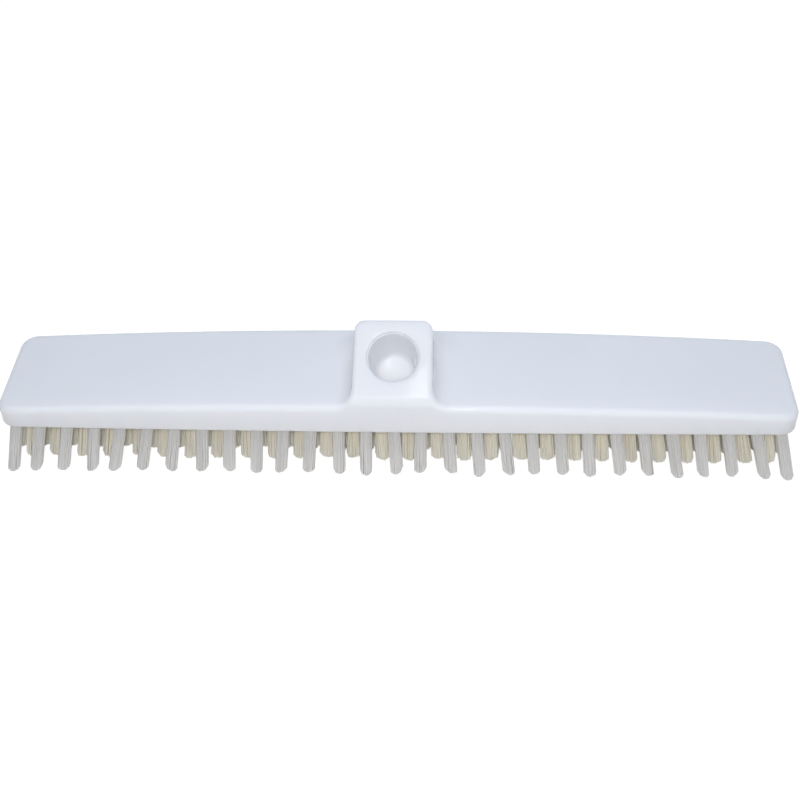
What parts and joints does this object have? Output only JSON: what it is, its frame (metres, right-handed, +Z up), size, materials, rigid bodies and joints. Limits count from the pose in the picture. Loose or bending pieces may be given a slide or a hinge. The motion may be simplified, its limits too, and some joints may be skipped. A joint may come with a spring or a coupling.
{
  "type": "floor broom head",
  "caption": "Wide floor broom head: a white moulded block with rounded edges and an inclined round handle socket, over staggered rows of stiff bristle tufts that fan outwards.",
  "frame": {"origin": "on the floor under the middle of the block, at the level of the trimmed bristle tips", "axes": "+X along the broom, -Y towards the side that the handle leans to, +Z up"},
  "size_m": [0.4714, 0.07, 0.0861],
  "materials": {
    "white_plastic": "moulded, soft gloss",
    "white_bristle": "drawn filament, satin",
    "ivory_bristle": "drawn filament, satin"
  },
  "bodies": {
    "root": {"brush_block": "white_plastic", "front_tuft_row": "white_bristle", "inner_tuft_rows": "ivory_bristle", "rear_tuft_row": "white_bristle"}
  },
  "joints": []
}
